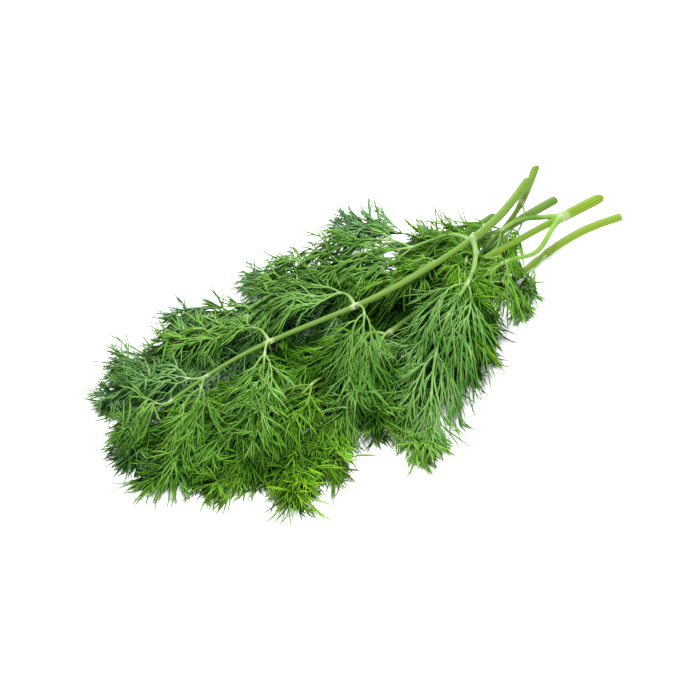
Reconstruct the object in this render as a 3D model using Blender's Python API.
"""A bunch of fresh dill: six cut sprigs that lie crossed in a loose heap, each a stem with its leaves.

Every stem and every leaf is a solid of its own. The sprigs are laid one after another, from the bottom of the
heap to the top: each piece rests on the highest things under it, so that nothing runs through anything else.
A leaf is a slim stalk that widens into a thin blade, the plain envelope of its feathery lobes.
"""

import bmesh
import bpy
import numpy as np

# Driving dimensions, in metres. Plan places in SPRIGS are in millimetres.
MM = 0.001
GAP = 0.3 * MM  # the air that is kept between pieces
STEM_SIDES = 8
STEM_STATIONS = 22
STEM_TAPER = 0.42  # radius at the tip, as a share of the radius at the cut end
STEM_SLOPE = 0.22  # the steepest that a stiff stem runs up or down
LEAF_STATIONS = 12
LEAF_SLOPE = 0.65  # the steepest that a leaf droops
STALK_SHARE = 0.22  # the least share of a leaf's length that is bare stalk
LOW_STALK_SHARE = 0.30  # what a leaf right at the cut end would have on top of that
LOW_LEAVES = 0.35  # the share of the stem over which those longer stalks shorten
STALK_HALF_WIDTH = 0.9 * MM
STALK_THICKNESS = 1.2 * MM
BLADE_HALF_WIDTH = 0.24  # at its widest, as a share of the leaf's length
BLADE_THICKNESS = 0.8 * MM
ACROSS = (-1.0, -0.5, 0.0, 0.5, 1.0)  # places across a blade, as shares of its half width
SHARP_ANGLE = np.radians(50)  # edges bent more than this stay crisp
GRID_CELL = 1.0 * MM
GRID_LOW = np.array((-150.0, -120.0)) * MM
GRID_HIGH = np.array((190.0, 120.0)) * MM
SOFTENING = 3  # cells over which a resting height is evened out
FACE_SAMPLES = 8  # places along each side of a face where its clearance is tried
FLAT_AREA = 1e-9  # twice the plan area below which a face counts as upright

# The sprigs from the bottom of the heap to the top. route: plan points from the cut end to the tip. leaves: where
# each grows, as a share of the stem's length, how far its tip stands off the heap, and the plan points it runs
# through, of which the last is its tip.
SPRIGS = {
    "front": {
        "radius": 2.0,
        "cut_height": 12,
        "route": [
            (157, -5), (148, 0), (138, 2), (129, 4), (119, 3), (111, 3), (103, 2), (96, 1), (73, -3), (42, -12),
            (14, -19), (-18, -24), (-45, -30),
        ],
        "leaves": [
            (0.19, 0, (80, -24)), (0.23, 0, (59, 10)), (0.42, 0, (49, -36)), (0.49, 0, (19, -40)),
            (0.66, 0, (-12, -72)), (0.71, 0, (-34, -6)), (0.88, 0, (-47, -53)), (0.93, 0, (-97, -22)),
            (0.99, 0, (-69, -56)),
        ],
    },
    "low": {
        "radius": 2.1,
        "cut_height": 12,
        "route": [
            (139, 23), (131, 24), (123, 25), (118, 26), (105, 26), (91, 28), (66, 26), (37, 27), (1, 24), (-31, 28),
            (-60, 33), (-77, 40),
        ],
        "leaves": [
            (0.16, 0, (65, 42)), (0.19, 0, (25, -6)), (0.34, 2, (2, 63)), (0.39, 0, (-26, -4)), (0.55, 2, (-50, 51)),
            (0.61, 0, (-82, -8)), (0.76, 2, (-91, 62)), (0.81, 0, (-119, 4)), (0.99, 0, (-108, 43)),
        ],
    },
    "back": {
        "radius": 1.3,
        "cut_height": 22,
        "route": [(101, 24), (91, 24), (83, 26), (74, 30), (60, 42), (43, 51), (17, 55), (-10, 58), (-33, 61)],
        "leaves": [
            (0.13, 2, (67, 27)), (0.26, 8, (47, 59)), (0.33, 0, (0, 14)), (0.39, 6, (34, 62)), (0.55, 0, (-44, 22)),
            (0.65, 4, (-12, 73)), (0.84, 0, (-78, 34)), (0.98, 2, (-70, 53)),
        ],
    },
    "middle": {
        "radius": 1.8,
        "cut_height": 28,
        "route": [
            (134, 33), (125, 27), (117, 21), (108, 17), (96, 14), (77, 9), (53, 2), (23, -6), (-11, -15), (-34, -20),
            (-51, -22),
        ],
        "leaves": [
            (0.11, 0, (112, 13), (102, 7), (72, -10)), (0.11, 2, (101, 13), (83, 9), (57, 26)), (0.32, 0, (35, -42)),
            (0.39, 0, (10, 14)), (0.55, 0, (-14, -49)), (0.61, 0, (-50, 1)), (0.81, 0, (-68, -47)),
            (0.88, 0, (-97, -16)), (1.0, 0, (-83, -24)),
        ],
    },
    "right": {
        "radius": 2.6,
        "cut_height": 24,
        "route": [
            (146, 1), (135, 3), (127, 4), (116, 3), (98, 0), (85, -1), (76, -1), (53, -5), (33, -5), (17, -6),
            (-5, -7), (-29, -10), (-55, -12),
        ],
        "leaves": [
            (0.09, 0, (118, 7), (108, 7), (98, 8), (81, 6), (29, 9)),
            (0.1, 0, (111, -5), (89, -15), (64, -18), (35, -24)), (0.4, 0, (36, -47)), (0.45, 0, (16, 26)),
            (0.64, 0, (-19, -47)), (0.65, 0, (-46, 13)), (0.81, 0, (-84, -29)), (0.87, 0, (-109, 16)),
            (0.99, 0, (-117, -6)),
        ],
    },
    "top": {
        "radius": 2.1,
        "cut_height": 38,
        "route": [
            (117, 19), (104, 14), (89, 6), (75, 0), (66, -2), (55, -5), (46, -5), (36, -4), (25, -3), (15, -1),
            (3, 2), (-5, 4), (-14, 8), (-23, 10), (-34, 14), (-46, 16), (-55, 18), (-66, 18), (-76, 18), (-87, 18),
        ],
        "leaves": [
            (0.26, 0, (61, 13), (51, 23), (40, 30), (27, 36), (11, 43), (-18, 65)),
            (0.26, 0, (61, -13), (51, -21), (27, -31), (16, -40), (-6, -67)), (0.56, 0, (4, 21), (-47, 51)),
            (0.56, 0, (3, -7), (-29, -38)), (0.75, 0, (-37, 30), (-76, 52)), (0.75, 0, (-41, 7), (-72, -29)),
            (0.9, 0, (-73, 21), (-99, 41)), (0.9, 0, (-72, 11), (-107, -15)), (0.99, 0, (-114, 14)),
        ],
    },
}

STEM_COLOUR = (0.30, 0.47, 0.09, 1.0)
LEAF_COLOUR = (0.09, 0.24, 0.03, 1.0)


def sliding(table, reach, step):
    """The table with each cell set from the square of cells within reach, one axis after the other."""
    for axis in (0, 1):
        padded = np.pad(table, [(reach, reach) if a == axis else (0, 0) for a in (0, 1)], mode="edge")
        shifted = [np.take(padded, range(i, i + table.shape[axis]), axis) for i in range(2 * reach + 1)]
        table = step(np.stack(shifted), axis=0)
    return table


class Heap:
    """How high the heap stands over each point of a plan grid."""

    def __init__(self):
        count = np.ceil((GRID_HIGH - GRID_LOW) / GRID_CELL).astype(int) + 1
        self.top = np.full(count, -GAP)

    def lay(self, solid):
        """Raises the table to the top of each triangle of a solid."""
        points = np.array([v.co for v in solid.data.vertices])
        for face in solid.data.polygons:
            self._lay_triangle(points[list(face.vertices)])

    def _lay_triangle(self, corners):
        """The triangle's plane, up to its highest corner, over each grid point less than two cells from it."""
        low = np.floor((corners[:, :2].min(axis=0) - GRID_LOW) / GRID_CELL).astype(int) - 1
        high = np.ceil((corners[:, :2].max(axis=0) - GRID_LOW) / GRID_CELL).astype(int) + 1
        window = tuple(slice(a, b + 1) for a, b in zip(low, high))
        x, y = np.meshgrid(*(np.arange(a, b + 1) * GRID_CELL for a, b in zip(low, high)), indexing="ij")
        away = np.stack([x, y], axis=-1) + GRID_LOW - corners[0, :2]
        first, second = corners[1:, :2] - corners[0, :2]
        twice_area = first[0] * second[1] - first[1] * second[0]
        highest = corners[:, 2].max()
        height = np.full(x.shape, highest)
        if abs(twice_area) > FLAT_AREA:
            b = (away[..., 0] * second[1] - away[..., 1] * second[0]) / twice_area
            c = (away[..., 1] * first[0] - away[..., 0] * first[1]) / twice_area
            shares = np.stack([1 - b - c, b, c], axis=-1)
            edges = np.linalg.norm([second - first, second, first], axis=1)
            near = (shares >= -1.5 * GRID_CELL * edges / abs(twice_area)).all(axis=-1)
            height = np.where(near, np.minimum(shares @ corners[:, 2], highest), -np.inf)
        self.top[window] = np.maximum(self.top[window], height)

    def soft_height(self, spots):
        """An evened-out height of the heap at each spot: the mean of the highest tops near it."""
        soft = sliding(sliding(self.top, SOFTENING + 1, np.max), SOFTENING, np.mean)
        cell = np.rint((spots - GRID_LOW) / GRID_CELL).astype(int)
        return np.maximum(soft[cell[..., 0], cell[..., 1]] + GAP, 0.0)

    def highest_at(self, spots):
        """The highest of the four grid points around each spot."""
        cell = np.floor((spots - GRID_LOW) / GRID_CELL).astype(int)
        i, j = cell[..., 0], cell[..., 1]
        return np.max([self.top[i, j], self.top[i + 1, j], self.top[i, j + 1], self.top[i + 1, j + 1]], axis=0)

    def lifted(self, spots, heights):
        """The heights of a net of points, raised so that its faces clear the heap whichever way they are split.

        Each face is tried at FACE_SAMPLES places both ways. Its corners all rise by its greatest shortfall."""
        s, t = np.meshgrid(*[np.linspace(0, 1, FACE_SAMPLES)] * 2, indexing="ij")
        s, t = s.ravel(), t.ravel()
        net = np.dstack([spots, heights])[:, :, None]
        a, b, c, d = net[:-1, :-1], net[1:, :-1], net[1:, 1:], net[:-1, 1:]
        s, t = s[:, None], t[:, None]
        one_way = np.where(s >= t, a + s * (b - a) + t * (c - b), a + t * (d - a) + s * (c - d))
        other_way = np.where(s + t <= 1, a + s * (b - a) + t * (d - a), c + (1 - s) * (d - c) + (1 - t) * (b - c))
        shortfalls = [self.highest_at(way[..., :2]) + GAP - way[..., 2] for way in (one_way, other_way)]
        shortfall = np.maximum(np.max(shortfalls, axis=(0, 3)), 0.0)
        padded = np.pad(shortfall, 1)
        around = [padded[:-1, :-1], padded[1:, :-1], padded[:-1, 1:], padded[1:, 1:]]
        return heights + np.max(around, axis=0)


def smooth_route(points, count):
    """count places, evenly spaced by length, on the Catmull-Rom curve through the points."""
    ends = np.vstack([2 * points[0] - points[1], points, 2 * points[-1] - points[-2]])
    t = np.linspace(0, 1, 12, endpoint=False)[:, None]
    pieces = [
        0.5 * (2 * b + (c - a) * t + (2 * a - 5 * b + 4 * c - d) * t**2 + (3 * b - a - 3 * c + d) * t**3)
        for a, b, c, d in zip(ends, ends[1:], ends[2:], ends[3:])
    ]
    fine = np.vstack([*pieces, points[-1:]])
    length = lengths_along(fine)
    at = np.linspace(0, length[-1], count)
    return np.stack([np.interp(at, length, fine[:, k]) for k in range(fine.shape[1])], axis=1)


def lengths_along(points):
    return np.concatenate([[0], np.cumsum(np.linalg.norm(np.diff(points, axis=0), axis=1))])


def stiff(heights, along, slope):
    """Heights raised where needed, so that they never change faster than the slope."""
    apart = np.abs(along[:, None] - along[None, :])
    return (heights[None, :] - slope * apart).max(axis=1)


def tangents(points):
    """The unit direction of a curve at each of its points."""
    found = np.gradient(points, axis=0)
    return found / np.linalg.norm(found, axis=1, keepdims=True)


def solid_from_rings(name, rings, material):
    """One closed solid: rings of points, each bridged to the next, with a cap at both ends."""
    shape = bmesh.new()
    loops = []
    for ring in rings:
        verts = [shape.verts.new(p) for p in ring]
        loops.append([shape.edges.new((a, b)) for a, b in zip(verts, verts[1:] + verts[:1])])
    for near, far in zip(loops, loops[1:]):
        bmesh.ops.bridge_loops(shape, edges=near + far)
    bmesh.ops.holes_fill(shape, edges=loops[0] + loops[-1], sides=0)
    bmesh.ops.triangulate(shape, faces=shape.faces)
    bmesh.ops.recalc_face_normals(shape, faces=shape.faces)
    mesh = bpy.data.meshes.new(name)
    shape.to_mesh(mesh)
    shape.free()
    mesh.materials.append(material)
    mesh.shade_smooth()
    mesh.set_sharp_from_angle(angle=SHARP_ANGLE)
    solid = bpy.data.objects.new(name, mesh)
    bpy.context.scene.collection.objects.link(solid)
    return solid


def plant_material(name, colour, roughness):
    material = bpy.data.materials.new(name)
    material.use_nodes = True
    shader = material.node_tree.nodes["Principled BSDF"]
    shader.inputs["Base Color"].default_value = colour
    shader.inputs["Roughness"].default_value = roughness
    return material


def stem_rings(heap, sprig):
    """The rings of a round stem laid on the heap, and its middle line."""
    plan = smooth_route(np.array(sprig["route"], float) * MM, STEM_STATIONS)
    along = lengths_along(plan)
    radius = sprig["radius"] * MM * (1 - (1 - STEM_TAPER) * along / along[-1])
    ahead = tangents(plan)
    sideways = np.column_stack([ahead[:, 1], -ahead[:, 0]]) * radius[:, None]
    spots = plan[:, None] + sideways[:, None] * np.array((-1, 0, 1))[:, None]
    rest = heap.lifted(spots, heap.soft_height(spots)).max(axis=1)
    rest[0] = max(rest[0], sprig["cut_height"] * MM)
    middle = np.column_stack([plan, stiff(rest, along, STEM_SLOPE) + radius])
    ahead = tangents(middle)
    beside = np.cross(ahead, (0, 0, 1))
    beside /= np.linalg.norm(beside, axis=1, keepdims=True)
    above = np.cross(beside, ahead)
    turn = 2 * np.pi * (np.arange(STEM_SIDES) + 0.5) / STEM_SIDES
    spokes = beside[:, None] * np.cos(turn)[:, None] + above[:, None] * np.sin(turn)[:, None]
    return middle[:, None] + radius[:, None, None] * spokes, middle


def leaf_plan(stem, share, points):
    """A leaf's middle line in plan, from its stem through its points.

    With its tip as the only point, it leaves the stem at a slant and bends out to the tip."""
    along = lengths_along(stem)
    place = share * along[-1]
    root = np.array([np.interp(place, along, stem[:, k]) for k in (0, 1)])
    if len(points) > 1:
        return smooth_route(np.vstack([root, points]), LEAF_STATIONS)
    tip = points[0]
    ahead = np.array([np.interp(place, along, tangents(stem)[:, k]) for k in (0, 1)])
    reach = tip - root
    slant = ahead / np.linalg.norm(ahead) + reach / np.linalg.norm(reach)
    bend = root + 0.45 * np.linalg.norm(reach) * slant / np.linalg.norm(slant)
    t = np.linspace(0, 1, 40)[:, None]
    curve = root * (1 - t) ** 2 + 2 * bend * t * (1 - t) + tip * t**2
    return smooth_route(curve, LEAF_STATIONS)


def leaf_rings(heap, plan, rise, stalk_share):
    """The rings of a leaf laid on the heap: five places across, with a bottom and a top that meet at the edges."""
    along = lengths_along(plan)
    blade = np.clip((along / along[-1] - stalk_share) / (1 - stalk_share), 0, 1)
    half_width = BLADE_HALF_WIDTH * along[-1] * np.sin(np.pi * blade**0.8) ** 0.9
    half_width = np.maximum(half_width, STALK_HALF_WIDTH * (1 - 0.6 * blade))
    ahead = tangents(plan)
    beside = np.column_stack([ahead[:, 1], -ahead[:, 0]])
    across = np.array(ACROSS)
    spots = plan[:, None] + beside[:, None] * (half_width[:, None] * across)[..., None]
    rest = heap.soft_height(spots)
    spine = stiff(rest.max(axis=1), along, LEAF_SLOPE) + rise * (along / along[-1]) ** 1.5
    droop = spine[:, None] - LEAF_SLOPE * half_width[:, None] * np.abs(across)
    bottom = heap.lifted(spots, np.maximum(rest, droop))
    thickness = STALK_THICKNESS + (BLADE_THICKNESS - STALK_THICKNESS) * np.sqrt(blade)
    top = bottom + thickness[:, None] * (1 - across**2)
    under = np.dstack([spots, bottom])
    over = np.dstack([spots, top])[:, 1:-1][:, ::-1]
    return np.concatenate([under, over], axis=1)


def lay_sprig(heap, name, sprig, stem_material, leaf_material):
    """Lays one sprig on the heap: its stem, and then its leaves over it."""
    rings, middle = stem_rings(heap, sprig)
    solids = [solid_from_rings(f"{name}_stem", rings, stem_material)]
    heap.lay(solids[0])
    for number, (share, rise, *points) in enumerate(sprig["leaves"], start=1):
        plan = leaf_plan(middle[:, :2], share, np.array(points, float) * MM)
        stalk_share = STALK_SHARE + LOW_STALK_SHARE * max(0, 1 - share / LOW_LEAVES)
        rings = leaf_rings(heap, plan, rise * MM, stalk_share)
        leaf = solid_from_rings(f"{name}_leaf_{number}", rings, leaf_material)
        heap.lay(leaf)
        solids.append(leaf)
    return solids


def centre_on_base(solids):
    """Moves the whole bunch so that the origin is the middle of its box, on the surface that it lies on."""
    corners = np.array([v.co for solid in solids for v in solid.data.vertices])
    low, high = corners.min(axis=0), corners.max(axis=0)
    for solid in solids:
        solid.location = (-(low[0] + high[0]) / 2, -(low[1] + high[1]) / 2, -low[2])


def main():
    for thing in list(bpy.data.objects):
        bpy.data.objects.remove(thing)
    stem_material = plant_material("stem_green", STEM_COLOUR, 0.45)
    leaf_material = plant_material("leaf_green", LEAF_COLOUR, 0.55)
    heap = Heap()
    solids = []
    for name, sprig in SPRIGS.items():
        solids += lay_sprig(heap, name, sprig, stem_material, leaf_material)
    centre_on_base(solids)


main()
